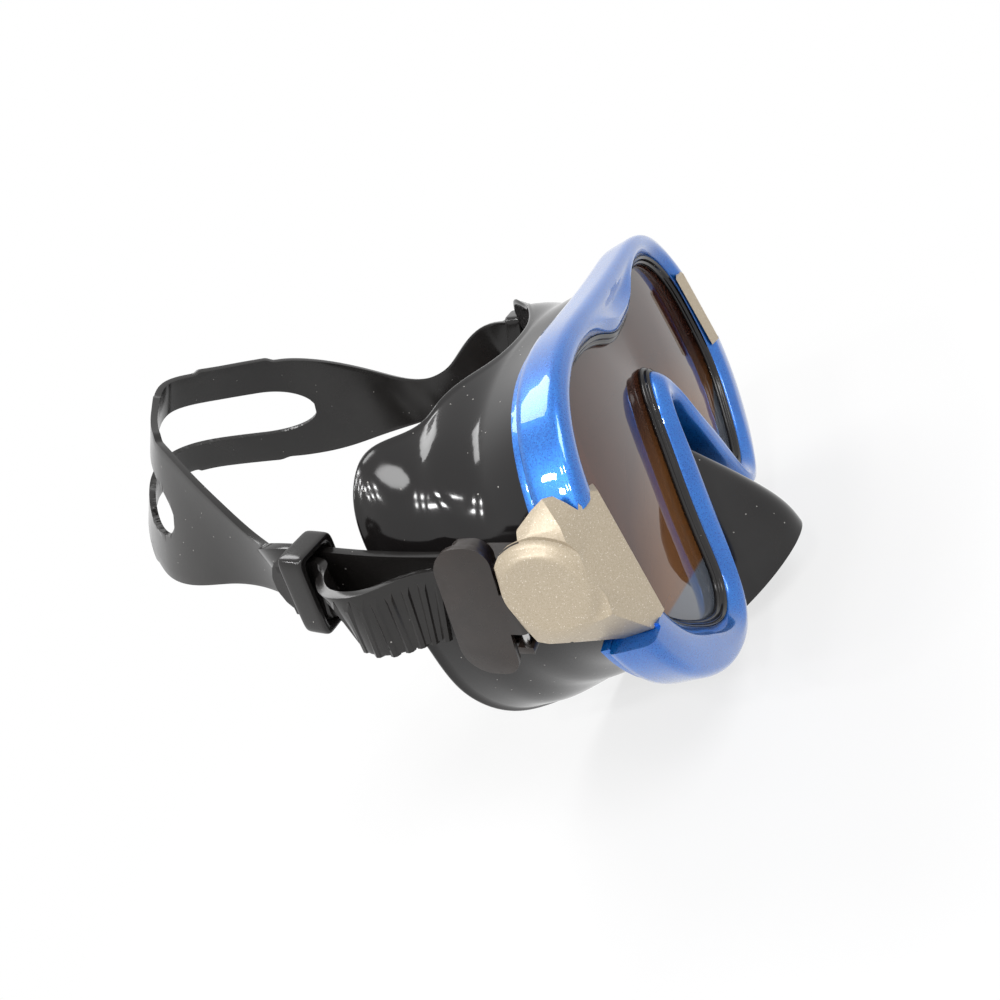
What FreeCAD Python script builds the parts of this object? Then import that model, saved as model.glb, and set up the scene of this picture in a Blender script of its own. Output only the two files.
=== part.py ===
import FreeCAD, Part
import math
import os
from FreeCAD import Rotation, Vector

os.makedirs("parts", exist_ok=True)

# Diving mask as worn: +X to the wearer's left, +Y towards the face, +Z up.
# The front plane of the blue frame lies near Y = 0 and the mask is symmetric about X = 0.

# Frame and lens
HOOP_FRONT = -1.0          # front face of the bezel
HOOP_REAR = 9.0            # rear face of the bezel
LIP_THICKNESS = 4.0        # bezel lip in front of the gasket
LENS_THICKNESS = 3.5
LENS_OVERLAP = 2.2         # lens edge outside the sight opening
GASKET_LIP = 1.4           # rubber in front of the lens
GASKET_WALL = 1.8          # rubber round the lens edge
GASKET_SIGHT = 1.2         # rubber inside the sight opening
RETAINER_THICKNESS = 2.0
RETAINER_INSET = 1.5       # retainer edge inside the bezel outline
RIM_BEVEL = 3.0            # width of the bevel round the sight opening
RIM_BEVEL_DEPTH = 2.6
SEAT = 0.1                 # clearance between curved faces of fixed pieces
SOFT_GAP = 0.3             # clearance round rubber

# Skirt
SKIRT_WALL = 2.0
NECK_WALL = 1.8
NOSE_WALL = 1.6
NOSE_TIP_Y = -14.4
NOSE_TIP_Z = -44.5
NOSE_UNDER_ANGLE = 27.0    # rise of the pocket's underside towards its tip

# Strap pivots, on one axis along X
PIVOT_Y = 17.8
PIVOT_Z = 4.0
PIN_RADIUS = 2.5
PIN_HEAD_RADIUS = 4.5
PIN_HEAD = 0.8
PIN_RUN = 0.05             # radial running clearance
EAR_CLEARANCE = 0.6        # from the widest point of the sight opening
EAR_THICKNESS = 1.7
EAR_RADIUS = 6.4
WASHER = 0.4               # pin flange between the ear and the hub

# Buckle, in its own frame: u to the rear along the strap, v up across it, x outwards
BUCKLE_TILT = 20.0
STRAP_INSET = 0.2          # inner face of the strap inside the ear's inner face
HUB_RADIUS = 6.5
HUB_DEPTH = 3.4
RAIL_THICKNESS = 1.6
RAIL_DEPTH = 7.6
RAIL_END = 15.5
WEB_END = 4.2
ROLLER_RADIUS = 1.7
JOURNAL_RADIUS = 1.0
LEVER_PIN_U = 3.3
LEVER_PIN_RADIUS = 0.8
LEVER_RISE = 2.2           # lever above the pin's head
LEVER_THICKNESS = 1.4
LEVER_HALF_HEIGHT = 15.5
LEVER_REAR = 17.7
LEVER_FRONT = 5.6
LEVER_CORNER = 6.5

# Clip cover
CLIP_RISE = 1.0            # cover above the lever
CLIP_THICKNESS = 2.0
CLIP_WALL = 1.5
CLIP_SKIRT = 0.7           # straight wall of the cover before its facets begin
POCKET_WALL = 1.4          # bezel left outside its pocket under the cover
RECESS_TOP = 19.5
RECESS_BOTTOM = -9.0
LAP_TOP = 18.0             # part of the cover that laps over the bezel's face
LAP_BOTTOM = -8.2
LAP_REAR = 0.2
LAP_FRONT = -1.8
LAP_REACH_TOP = 4.3        # its inner edge inside the widest point of the sight opening
LAP_REACH_BOTTOM = 1.4
LAP_CHAMFER = 3.8

# Strap
STRAP_THICKNESS = 2.0
STRAP_WIDTH = 15.0
STRAP_REAR_WIDTH = 46.0
TAIL_THICKNESS = 2.8       # with its ribs
BAND_GAP = 19.0
GAP_START = 0.34           # share of the strap's length before it splits
KEEPER_LENGTH = 6.0
KEEPER_WALL = 1.7
KEEPER_GAP = 1.2
LAYER_SLACK = 1.4          # room in the keeper between the strap and its tail


def half_outline(points):
    """Mirror a list of (x, z) from top centre to bottom centre into a closed ring."""
    left = [(-x, z) for x, z in points[-2:0:-1]]
    return list(points) + left


def ring_curve(points, y):
    curve = Part.BSplineCurve()
    curve.interpolate([Vector(x, y, z) for x, z in points], PeriodicFlag=True)
    return curve


def offset_points(points, distance, count=44):
    """Points of the closed outline moved outwards by distance, symmetric about x = 0."""
    curve = ring_curve(points, 0)
    first, last = curve.FirstParameter, curve.LastParameter
    moved = []
    for i in range(count):
        t = first + (last - first) * i / count
        p = curve.value(t)
        d = curve.tangent(t)[0]
        moved.append((p.x - d.z * distance, p.z + d.x * distance))
    return moved


def outline_wire(points, y):
    return Part.Wire([ring_curve(points, y).toShape()])


def plate(points, y0, y1):
    face = Part.Face(outline_wire(points, y0))
    return face.extrude(Vector(0, y1 - y0, 0))


def mirrored(shape):
    return shape.mirror(Vector(0, 0, 0), Vector(1, 0, 0))


def block(x0, x1, y0, y1, z0, z1):
    return Part.makeBox(x1 - x0, y1 - y0, z1 - z0, Vector(x0, y0, z0))


def save(shape, name):
    shape.exportStep("parts/%s.step" % name)


FRAME_OUTLINE = half_outline([
    (0, 40.3), (24.5, 40.6), (42, 40.2), (61.3, 34), (75.5, 17.2), (80.7, -3.5), (76.2, -19),
    (66.5, -31), (56, -38.8), (45, -43.8), (35.5, -45.3), (28.4, -43), (22.8, -36.2), (17.9, -28),
    (13.2, -18.8), (8.5, -7.8), (4.5, 1), (0, 4)])

SIGHT_OUTLINE = half_outline([
    (0, 27.8), (8, 28.4), (17, 31.5), (33, 34.4), (53, 31.4), (66, 20.8), (69.6, 2.5), (65.6, -14.8),
    (55, -27.2), (44.8, -35.2), (36, -38.1), (30.2, -35.8), (25, -26.6), (20, -15), (13.2, -3),
    (7, 7.2), (0, 12.8)])

SIGHT_HALF = max(x for x, z in SIGHT_OUTLINE)
EAR_INNER = SIGHT_HALF + EAR_CLEARANCE
RETAINER_RECESS = EAR_INNER + EAR_THICKNESS + 2 * SEAT
BEZEL_RECESS = SIGHT_HALF + LENS_OVERLAP + 2 * SEAT + GASKET_WALL + POCKET_WALL
LENS_FRONT = HOOP_FRONT + LIP_THICKNESS + GASKET_LIP
LENS_REAR = LENS_FRONT + LENS_THICKNESS
LENS_EDGE = offset_points(SIGHT_OUTLINE, LENS_OVERLAP)
GASKET_EDGE = offset_points(SIGHT_OUTLINE, LENS_OVERLAP + SEAT + GASKET_WALL)
POCKET_EDGE = offset_points(SIGHT_OUTLINE, LENS_OVERLAP + 2 * SEAT + GASKET_WALL)
GASKET_BORE = offset_points(SIGHT_OUTLINE, -GASKET_SIGHT)


def recess_blocks(start):
    """Room beside the hoop, on both sides, for the buckles and their covers."""
    left = block(start, 100, -20, 40, RECESS_BOTTOM, RECESS_TOP)
    return [left, mirrored(left)]


def lap_blocks():
    """Room in the bezel's face, on both sides, for the covers' laps."""
    left = block(SIGHT_HALF - 20, 100, -20, LAP_REAR + SEAT, LAP_BOTTOM - SEAT, LAP_TOP + SEAT)
    return [left, mirrored(left)]


def make_lens():
    return plate(LENS_EDGE, LENS_FRONT, LENS_REAR)


def make_bezel():
    body = plate(FRAME_OUTLINE, HOOP_FRONT, HOOP_REAR)
    sight = plate(SIGHT_OUTLINE, HOOP_FRONT - 1, HOOP_REAR)
    pocket = plate(POCKET_EDGE, HOOP_FRONT + LIP_THICKNESS, HOOP_REAR + 1)
    run_out = 0.25
    wide = outline_wire(offset_points(SIGHT_OUTLINE, RIM_BEVEL * (1 + run_out)),
                        HOOP_FRONT - RIM_BEVEL_DEPTH * run_out)
    narrow = outline_wire(offset_points(SIGHT_OUTLINE, -RIM_BEVEL * run_out),
                          HOOP_FRONT + RIM_BEVEL_DEPTH * (1 + run_out))
    bevel = Part.makeLoft([wide, narrow], True, True)
    return body.cut([sight, pocket, bevel] + lap_blocks() + recess_blocks(BEZEL_RECESS))


def make_retainer():
    y0 = HOOP_REAR
    y1 = HOOP_REAR + RETAINER_THICKNESS
    ring = plate(offset_points(FRAME_OUTLINE, -RETAINER_INSET), y0, y1)
    ring = ring.cut(plate(offset_points(SIGHT_OUTLINE, 2 * SOFT_GAP), y0 - 1, y1 + 1))
    ring = ring.cut(recess_blocks(RETAINER_RECESS))
    ear = Part.makeCylinder(EAR_RADIUS, EAR_THICKNESS, Vector(EAR_INNER, PIVOT_Y, PIVOT_Z), Vector(1, 0, 0))
    foot = block(EAR_INNER, EAR_INNER + EAR_THICKNESS, y0, PIVOT_Y, PIVOT_Z - EAR_RADIUS, PIVOT_Z + EAR_RADIUS)
    hole = Part.makeCylinder(PIN_RADIUS + PIN_RUN, 20, Vector(60, PIVOT_Y, PIVOT_Z), Vector(1, 0, 0))
    ear = ear.fuse(foot).common(block(60, 80, y0, 60, -40, 60)).cut(hole)
    return ring.fuse([ear, mirrored(ear)]).removeSplitter()


SKIRT_SECTIONS = (
    (11.3, [(0, 33), (24, 34.8), (42, 34), (57, 28), (65.3, 14), (66.8, -4), (63.5, -18),
            (53, -30.5), (38, -42.5), (22, -53), (0, -56)]),
    (26, [(0, 37), (24, 36), (42, 32.5), (56, 25.5), (64.5, 13), (66.8, -3), (63.5, -19),
          (54, -32), (40, -45), (23, -56.5), (0, -59.5)]),
    (46, [(0, 46), (24, 45), (42, 41), (57, 33), (66, 17), (68.2, -2), (65.5, -20),
          (57, -36), (42, -49), (23, -58.5), (0, -61.5)]),
    (70, [(0, 47), (24, 45), (43, 41), (57, 33), (65.5, 17), (67.5, -4), (65, -22),
          (56.5, -38), (42, -50), (22, -58), (0, -61)]))

# Face in the mask's plane of symmetry, (y, z) from the forehead to the upper lip, and how fast
# it falls away to the sides, in mm of depth per mm of width squared
FACE_LINE = [(30, 58), (29.5, 46), (27, 25), (25.5, 10), (27, -5), (31.5, -20), (37.5, -36),
             (43, -49), (44, -60), (42, -72)]
FACE_ROUNDING = 0.0067


def skirt_loft(inset, start):
    wires = []
    for y, half in SKIRT_SECTIONS:
        points = offset_points(half_outline(half), -inset, 36)
        wires.append(outline_wire(points, max(y, start)))
    return Part.makeLoft(wires, True, False)


def nose_loft(wall, rear):
    """The nose pocket from horizontal sections, cut below by its sloping underside."""
    sections = ((-6.5, 4, 7), (-15, 6.5, 0.7), (-22, 9, -4), (-31, 12, -9.6), (-39, 14.5, -13.2),
                (-46, 16.2, NOSE_TIP_Y), (-62, 17.5, NOSE_TIP_Y))
    wires = []
    for z, half_width, front in sections:
        w = half_width - wall
        f = front + wall
        z_in = z - (wall if z > -10 else 0)
        curve = Part.BSplineCurve()
        depth = rear - f
        curve.interpolate([Vector(-w, rear, z_in), Vector(-w * 0.84, f + depth * 0.52, z_in),
                           Vector(-w * 0.45, f + depth * 0.12, z_in), Vector(0, f, z_in),
                           Vector(w * 0.45, f + depth * 0.12, z_in),
                           Vector(w * 0.84, f + depth * 0.52, z_in), Vector(w, rear, z_in)])
        back = Part.makeLine(Vector(w, rear, z_in), Vector(-w, rear, z_in))
        wires.append(Part.Wire([curve.toShape(), back]))
    body = Part.makeLoft(wires, True, False)
    under = Part.makeBox(120, 120, 60, Vector(-60, -60, -60))
    under.rotate(Vector(0, 0, 0), Vector(1, 0, 0), -NOSE_UNDER_ANGLE)
    under.translate(Vector(0, NOSE_TIP_Y, NOSE_TIP_Z + wall * 1.2))
    return body.cut(under)


def face_cutter():
    """Everything behind the wearer's face line."""
    wires = []
    for x in (-80, -55, -28, 0, 28, 55, 80):
        back = FACE_ROUNDING * x * x
        curve = Part.BSplineCurve()
        curve.interpolate([Vector(x, y + back, z) for y, z in FACE_LINE])
        y0, z0 = FACE_LINE[0]
        y1, z1 = FACE_LINE[-1]
        sides = Part.makePolygon([Vector(x, y1 + back, z1), Vector(x, 160, z1), Vector(x, 160, z0),
                                  Vector(x, y0 + back, z0)])
        wires.append(Part.Wire([curve.toShape()] + sides.Edges))
    return Part.makeLoft(wires, True, False)


def make_skirt():
    body_front = SKIRT_SECTIONS[0][0]
    gasket_rear = LENS_REAR + 1.0
    gasket = plate(GASKET_EDGE, HOOP_FRONT + LIP_THICKNESS, min(gasket_rear, HOOP_REAR))
    neck = plate(SIGHT_OUTLINE, LENS_REAR, body_front + 1)
    outer = skirt_loft(0, body_front)
    outer = outer.fuse([gasket, neck, nose_loft(0, body_front + 4)])
    inner = skirt_loft(SKIRT_WALL, body_front + SKIRT_WALL)
    bore = plate(offset_points(SIGHT_OUTLINE, -NECK_WALL), 0, body_front + 6)
    front_bore = plate(GASKET_BORE, 0, LENS_FRONT)
    seat = plate(offset_points(SIGHT_OUTLINE, LENS_OVERLAP + SEAT), LENS_FRONT, LENS_REAR)
    nose_inner = nose_loft(NOSE_WALL, body_front + 6)
    skirt = outer.cut([inner, bore, front_bore, seat, nose_inner])
    return skirt.cut(face_cutter())


def place_buckle(shape):
    """From the buckle's own frame (x, u, v) to its place on the mask's left side."""
    moved = shape.copy()
    moved.rotate(Vector(0, 0, 0), Vector(1, 0, 0), BUCKLE_TILT)
    moved.translate(Vector(0, PIVOT_Y, PIVOT_Z))
    return moved


BUCKLE_INNER = EAR_INNER - STRAP_INSET
HUB_INNER = EAR_INNER + EAR_THICKNESS + WASHER + SEAT
HUB_OUTER = HUB_INNER + HUB_DEPTH
LEVER_INNER = HUB_OUTER + SEAT + PIN_HEAD + LEVER_RISE
CLIP_INNER = LEVER_INNER + LEVER_THICKNESS + CLIP_RISE
CLIP_SHOULDER = BEZEL_RECESS + SEAT + CLIP_SKIRT
RAIL_INNER = STRAP_WIDTH / 2 + 0.5
RAIL_OUTER = RAIL_INNER + RAIL_THICKNESS
ROLLER_X = BUCKLE_INNER + STRAP_THICKNESS + SOFT_GAP + ROLLER_RADIUS
ROLLER_U = HUB_RADIUS + STRAP_THICKNESS + 2 * SOFT_GAP + ROLLER_RADIUS
LEVER_PIN_X = LEVER_INNER - 0.1


def v_cylinder(radius, x, u, v0, v1):
    return Part.makeCylinder(radius, v1 - v0, Vector(x, u, v0), Vector(0, 0, 1))


def make_pivot_pin():
    x = Vector(1, 0, 0)
    head_start = HUB_OUTER + SEAT
    shank = Part.makeCylinder(PIN_RADIUS, head_start - EAR_INNER, Vector(EAR_INNER, 0, 0), x)
    flange = Part.makeCylinder(PIN_HEAD_RADIUS, WASHER, Vector(EAR_INNER + EAR_THICKNESS, 0, 0), x)
    head = Part.makeCylinder(PIN_HEAD_RADIUS, PIN_HEAD, Vector(head_start, 0, 0), x)
    pin = shank.fuse([flange, head]).removeSplitter()
    pin.translate(Vector(0, PIVOT_Y, PIVOT_Z))
    return pin


def make_buckle_body():
    x0 = BUCKLE_INNER
    hub_depth = HUB_OUTER - HUB_INNER
    hub = Part.makeCylinder(HUB_RADIUS, hub_depth, Vector(HUB_INNER, 0, 0), Vector(1, 0, 0))
    web = block(HUB_INNER, HUB_OUTER, 0, WEB_END, -RAIL_OUTER, RAIL_OUTER)
    corner = Part.makeCylinder(RAIL_OUTER, hub_depth, Vector(HUB_INNER, 1, 0), Vector(1, 0, 0))
    web = web.common(corner)
    parts = [web]
    for side in (1, -1):
        v0, v1 = sorted((side * RAIL_INNER, side * RAIL_OUTER))
        parts.append(block(x0, x0 + RAIL_DEPTH, WEB_END - 2.5, RAIL_END, v0, v1))
        lug_top = LEVER_PIN_X + LEVER_PIN_RADIUS + 0.7
        parts.append(block(x0, lug_top, LEVER_PIN_U - 1.6, LEVER_PIN_U + 1.6, v0, v1))
    wing_depth = 2.2
    for side in (1, -1):
        v0, v1 = sorted((side * RAIL_INNER, side * (LEVER_HALF_HEIGHT - 1)))
        wing = block(x0 + RAIL_DEPTH - wing_depth, x0 + RAIL_DEPTH, LEVER_FRONT + 1, RAIL_END, v0, v1)
        edges = [e for e in wing.Edges if abs(e.CenterOfMass.z) > LEVER_HALF_HEIGHT - 1.1
                 and abs(e.Vertexes[0].X - e.Vertexes[-1].X) > 1]
        parts.append(wing.makeFillet(3.5, edges))
    body = hub.fuse(parts)
    bore = Part.makeCylinder(PIN_RADIUS + PIN_RUN, 20, Vector(x0 - 5, 0, 0), Vector(1, 0, 0))
    journals = v_cylinder(JOURNAL_RADIUS + PIN_RUN, ROLLER_X, ROLLER_U, -RAIL_OUTER + 0.5, RAIL_OUTER - 0.5)
    pins = v_cylinder(LEVER_PIN_RADIUS + PIN_RUN, LEVER_PIN_X, LEVER_PIN_U, -RAIL_OUTER - 1, RAIL_OUTER + 1)
    return body.cut([bore, journals, pins]).removeSplitter()


def make_roller():
    reach = RAIL_OUTER - 0.7
    drum = v_cylinder(ROLLER_RADIUS, ROLLER_X, ROLLER_U, -RAIL_INNER + 0.3, RAIL_INNER - 0.3)
    return drum.fuse(v_cylinder(JOURNAL_RADIUS, ROLLER_X, ROLLER_U, -reach, reach)).removeSplitter()


def make_lever():
    x0 = LEVER_INNER
    h = LEVER_HALF_HEIGHT
    face = block(x0, x0 + LEVER_THICKNESS, LEVER_FRONT, LEVER_REAR, -h, h)
    edges = [e for e in face.Edges if abs(e.Vertexes[0].X - e.Vertexes[-1].X) > 1]
    rear = [e for e in edges if e.CenterOfMass.y > (LEVER_FRONT + LEVER_REAR) / 2]
    front = [e for e in edges if e.CenterOfMass.y < (LEVER_FRONT + LEVER_REAR) / 2]
    face = face.makeFillet(LEVER_CORNER, rear)
    front = [e for e in face.Edges if abs(e.Vertexes[0].X - e.Vertexes[-1].X) > 1
             and abs(e.CenterOfMass.y - LEVER_FRONT) < 0.1]
    face = face.makeFillet(LEVER_CORNER - 2.5, front)
    knuckle_half = RAIL_INNER - 3.2
    neck = block(x0, x0 + LEVER_THICKNESS, LEVER_PIN_U, LEVER_FRONT + 1, -knuckle_half, knuckle_half)
    knuckle = v_cylinder(LEVER_PIN_RADIUS + 0.7, LEVER_PIN_X, LEVER_PIN_U, -knuckle_half, knuckle_half)
    pawl = block(x0 - 0.5, x0 + 0.2, LEVER_REAR - 4, LEVER_REAR - 2.6, -RAIL_INNER + 1, RAIL_INNER - 1)
    lever = face.fuse([neck, knuckle, pawl])
    hole = v_cylinder(LEVER_PIN_RADIUS + PIN_RUN, LEVER_PIN_X, LEVER_PIN_U, -20, 20)
    return lever.cut(hole).removeSplitter()


def make_lever_pin():
    return v_cylinder(LEVER_PIN_RADIUS, LEVER_PIN_X, LEVER_PIN_U, -RAIL_OUTER, RAIL_OUTER)


def make_lever_spring():
    """Torsion coil on the lever pin, with one leg on the lever's side and one on the web."""
    wire = 0.25
    radius = LEVER_PIN_RADIUS + wire + 0.12
    v_start = RAIL_INNER - 2.7
    turns = []
    for i in range(4):
        centre = Vector(LEVER_PIN_X, LEVER_PIN_U, v_start + i * wire * 1.8)
        turns.append(Part.makeTorus(radius, wire, centre, Vector(0, 0, 1)))
    foot = Vector(HUB_OUTER, LEVER_PIN_U - radius, v_start)
    leg = Part.makeCylinder(wire, LEVER_PIN_X - HUB_OUTER, foot, Vector(1, 0, 0))
    return leg.fuse(turns)


# Clip cover outlines, (y, z): at its shoulder and round its outer face
CLIP_SHOULDER_OUTLINE = [(-1.6, 17.6), (4, 21.8), (11, 20), (17.6, 17.6), (21.8, 11.5), (22.6, 4), (19.8, -3.2),
                         (12.5, -6), (6.5, -9.2), (0, -9.8), (-1.6, -7.8)]
CLIP_FACE_OUTLINE = [(3.6, 13.5), (6.5, 16.8), (11, 17.6), (15.8, 15.8), (19, 10.8), (19.6, 5), (17.4, -0.4),
                     (12.4, -2.8), (8.2, -3.6), (5.2, -2.6), (3.6, 0.4)]


def inset(points, distance):
    """Move each corner of an outline towards the outline's middle."""
    cy = sum(y for y, z in points) / len(points)
    cz = sum(z for y, z in points) / len(points)
    moved = []
    for y, z in points:
        share = 1 - distance / math.hypot(y - cy, z - cz)
        moved.append((cy + (y - cy) * share, cz + (z - cz) * share))
    return moved


def outline_at(points, x):
    return Part.makePolygon([Vector(x, y, z) for y, z in points + points[:1]])


def cap_solid(wall, outer):
    start = BEZEL_RECESS + SEAT
    shoulder = inset(CLIP_SHOULDER_OUTLINE, wall)
    face = inset(CLIP_FACE_OUTLINE, wall)
    skirt = Part.Face(outline_at(shoulder, start)).extrude(Vector(CLIP_SHOULDER - start, 0, 0))
    top = Part.makeLoft([outline_at(shoulder, CLIP_SHOULDER), outline_at(face, outer)], True, True)
    return skirt.fuse(top)


def lap_section(z, edge):
    points = [(edge, LAP_REAR), (edge + LAP_CHAMFER, LAP_FRONT), (CLIP_SHOULDER, LAP_FRONT),
              (CLIP_SHOULDER, LAP_REAR)]
    return Part.makePolygon([Vector(x, y, z) for x, y in points + points[:1]])


def make_clip():
    lap = Part.makeLoft([lap_section(LAP_TOP, SIGHT_HALF - LAP_REACH_TOP),
                         lap_section(LAP_BOTTOM, SIGHT_HALF - LAP_REACH_BOTTOM)], True, True)
    body = cap_solid(0, CLIP_INNER + CLIP_THICKNESS).fuse(lap)
    swing = block(50, CLIP_INNER, HOOP_REAR, 60, -60, 60)
    body = body.cut([cap_solid(CLIP_WALL, CLIP_INNER), swing])
    beside = plate(offset_points(FRAME_OUTLINE, SEAT), HOOP_FRONT, HOOP_REAR)
    return body.cut(beside.cut(recess_blocks(BEZEL_RECESS) + lap_blocks()))


# Centre line of the left half of the strap from its roller to the middle of the back of the head,
# its side measured from the buckle's inner face, and the sideways lean of its upper edge as
# (share of its length, degrees)
STRAP_SIDE = [(1, 36.6, 10.8), (1.9, 49.8, 16.6), (2.9, 64.1, 24.4), (2.3, 73.4, 28.6)]
STRAP_BACK = [(62.4, 86.7, 24), (47, 118, 35), (37.3, 142.5, 49.3), (20, 158, 61.5), (0, 164.6, 68.3)]
TAIL_SIDE = [(7.2, 34.6, 10.6), (10.6, 41, 13.4), (14.2, 48.4, 15.6), (12.6, 55, 18.6), (6.8, 59.8, 21.6),
             (6.5, 64.1, 24.4), (6.2, 69, 26.6), (5.9, 73.4, 28.6)]
STRAP_LINE = [(BUCKLE_INNER + x, y, z) for x, y, z in STRAP_SIDE] + STRAP_BACK
TAIL_LINE = [(BUCKLE_INNER + x, y, z) for x, y, z in TAIL_SIDE]
STRAP_LEAN = ((0, 0), (0.1, 0), (0.22, 12), (0.5, 50), (0.8, -8), (0.9, 0), (1, 0))


def section(centre, along, up, width, thickness):
    out = along.cross(up).normalize()
    w = up * (width / 2)
    t = out * (thickness / 2)
    corners = [centre + w + t, centre + w - t, centre - w - t, centre - w + t]
    return Part.makePolygon(corners + corners[:1])


def upright(along, lean):
    up = Vector(0, 0, 1) - along * along.z
    up.normalize()
    side = along.cross(up)
    angle = math.radians(lean)
    return up * math.cos(angle) + side * math.sin(angle)


def strap_curve():
    right = [Vector(-x, y, z) for x, y, z in STRAP_LINE]
    left = [Vector(x, y, z) for x, y, z in STRAP_LINE[-2::-1]]
    curve = Part.BSplineCurve()
    curve.interpolate(right + left)
    return curve


def rear_share(s):
    """0 on the narrow strap, 1 behind the head, smooth between; s runs 0..1 from side to side."""
    t = min(max((min(s, 1 - s) - 0.2) / 0.17, 0), 1)
    return t * t * (3 - 2 * t)


def lean_at(s):
    for (s0, lean0), (s1, lean1) in zip(STRAP_LEAN, STRAP_LEAN[1:]):
        if s <= s1:
            share = (s - s0) / (s1 - s0)
            return lean0 + (lean1 - lean0) * share * share * (3 - 2 * share)
    return 0


def strap_sections(width_of, thickness, s0, s1, count):
    curve = strap_curve()
    length = curve.length()
    wires = []
    for i in range(count):
        s = s0 + (s1 - s0) * i / (count - 1)
        t = curve.parameterAtDistance(length * s)
        along = curve.tangent(t)[0]
        wires.append(section(curve.value(t), along, upright(along, lean_at(s)), width_of(s), thickness))
    return wires


def full_width(s):
    return STRAP_WIDTH + (STRAP_REAR_WIDTH - STRAP_WIDTH) * rear_share(s)


def gap_width(s):
    share = min(max((min(s, 1 - s) - GAP_START) / 0.06, 0), 1)
    return BAND_GAP * math.sqrt(share * (2 - share)) + 0.5



def make_strap():
    band = Part.makeLoft(strap_sections(full_width, STRAP_THICKNESS, 0, 1, 25), True, False)
    gap = Part.makeLoft(strap_sections(gap_width, STRAP_THICKNESS * 4, GAP_START, 1 - GAP_START, 17), True, False)
    strap = band.cut(gap)
    tail = make_tail()
    return strap.fuse([tail, mirrored(tail)])


def make_tail():
    """Left end of the strap: round the roller and back along the outside."""
    u_end = (STRAP_LINE[0][1] - PIVOT_Y) / math.cos(math.radians(BUCKLE_TILT))
    x_in = BUCKLE_INNER + STRAP_THICKNESS / 2
    x_out = 2 * ROLLER_X - x_in
    half = STRAP_WIDTH / 2
    t = STRAP_THICKNESS
    inner = block(x_in - t / 2, x_in + t / 2, ROLLER_U, u_end + 0.2, -half, half)
    u_tail = (TAIL_LINE[0][1] - PIVOT_Y) / math.cos(math.radians(BUCKLE_TILT))
    outer = block(x_out - t / 2, x_out + t / 2, ROLLER_U, u_tail, -half, half)
    turn_radius = (x_out - x_in) / 2
    turn = v_cylinder(turn_radius + t / 2, ROLLER_X, ROLLER_U, -half, half)
    turn = turn.cut(v_cylinder(turn_radius - t / 2, ROLLER_X, ROLLER_U, -half - 1, half + 1))
    turn = turn.cut(block(60, 90, ROLLER_U, ROLLER_U + 20, -half - 1, half + 1))
    near = place_buckle(turn.fuse([inner, outer]))
    first = Vector(x_out, u_tail, 0)
    rotation = Rotation(Vector(1, 0, 0), BUCKLE_TILT)
    start = rotation.multVec(first) + Vector(0, PIVOT_Y, PIVOT_Z)
    points = [start] + [Vector(*p) for p in TAIL_LINE[1:]]
    curve = Part.BSplineCurve()
    direction = rotation.multVec(Vector(0, 1, 0))
    curve.interpolate(points, InitialTangent=direction * 6, FinalTangent=(points[-1] - points[-2]))
    length = curve.length()
    wires = []
    count = 13
    for i in range(count):
        s = i / (count - 1)
        p = curve.parameterAtDistance(length * s)
        along = curve.tangent(p)[0]
        thickness = t + (TAIL_THICKNESS - t) * min(s * 4, 1)
        wires.append(section(curve.value(p), along, upright(along, 0), STRAP_WIDTH, thickness))
    far = Part.makeLoft(wires, True, False)
    return near.fuse(far)


def keeper_frame():
    """Place of the left keeper: its middle, the direction along the strap and the way up."""
    inner = Vector(*STRAP_LINE[2])
    along = (Vector(*STRAP_LINE[3]) - inner).normalize()
    return inner, along


def make_keeper():
    inner, along = keeper_frame()
    up = upright(along, 0)
    out = up.cross(along).normalize()
    if out.x < 0:
        out = out * -1
    depth = STRAP_THICKNESS + TAIL_THICKNESS + 2 * KEEPER_GAP + LAYER_SLACK
    centre = inner + out * ((depth - STRAP_THICKNESS) / 2 - KEEPER_GAP)
    hole = section(centre - along * 20, along, up, STRAP_WIDTH + 2 * KEEPER_GAP, depth)
    ring = section(centre - along * (KEEPER_LENGTH / 2), along, up, STRAP_WIDTH + 2 * (KEEPER_GAP + KEEPER_WALL),
                   depth + 2 * KEEPER_WALL)
    body = Part.Face(ring).extrude(along * KEEPER_LENGTH)
    return body.cut(Part.Face(hole).extrude(along * 60))


def main():
    save(make_lens(), "lens")
    save(make_bezel(), "front_bezel")
    save(make_retainer(), "lens_retainer")
    save(make_skirt(), "skirt")
    save(make_strap(), "head_strap")
    pairs = (
        ("clip_cover", make_clip()),
        ("pivot_pin", make_pivot_pin()),
        ("buckle_body", place_buckle(make_buckle_body())),
        ("strap_roller", place_buckle(make_roller())),
        ("release_lever", place_buckle(make_lever())),
        ("lever_pin", place_buckle(make_lever_pin())),
        ("lever_spring", place_buckle(make_lever_spring())),
        ("strap_keeper", make_keeper()))
    for name, left in pairs:
        save(left, "left_" + name)
        save(mirrored(left), "right_" + name)


main()
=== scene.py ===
"""Diving mask on its CAD frame. Shapes are worked out in millimetres and stored in metres."""

import math

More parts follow.
